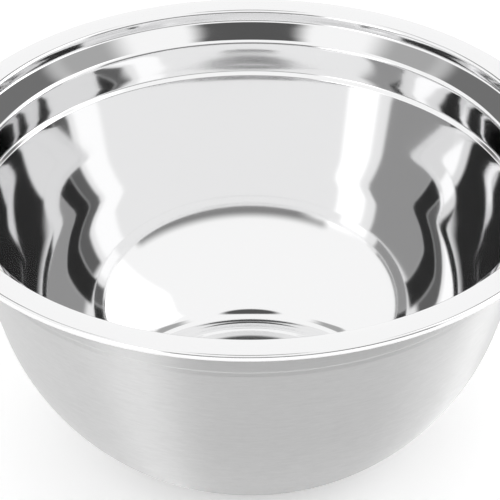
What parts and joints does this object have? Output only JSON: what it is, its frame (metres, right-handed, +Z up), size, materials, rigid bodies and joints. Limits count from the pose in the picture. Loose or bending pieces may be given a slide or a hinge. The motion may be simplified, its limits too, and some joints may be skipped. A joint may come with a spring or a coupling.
{
  "type": "shaving bowl",
  "caption": "Shallow round steel bowl with a rolled lip, stepped rim, mirror-polished inside and brushed outer shell, for lathering shaving soap.",
  "frame": {"origin": "centre of the base, in the plane the bowl stands on", "axes": "+Z up along the bowl's axis of symmetry; +X and +Y are arbitrary level directions"},
  "size_m": [0.12, 0.12, 0.057],
  "materials": {
    "polished_steel": "mirror polished",
    "brushed_steel": "satin, brushed round the bowl",
    "seal": "matt"
  },
  "bodies": {
    "root": {"inner_bowl": "polished_steel", "outer_shell": "brushed_steel", "rim_seal": "seal"}
  },
  "joints": []
}
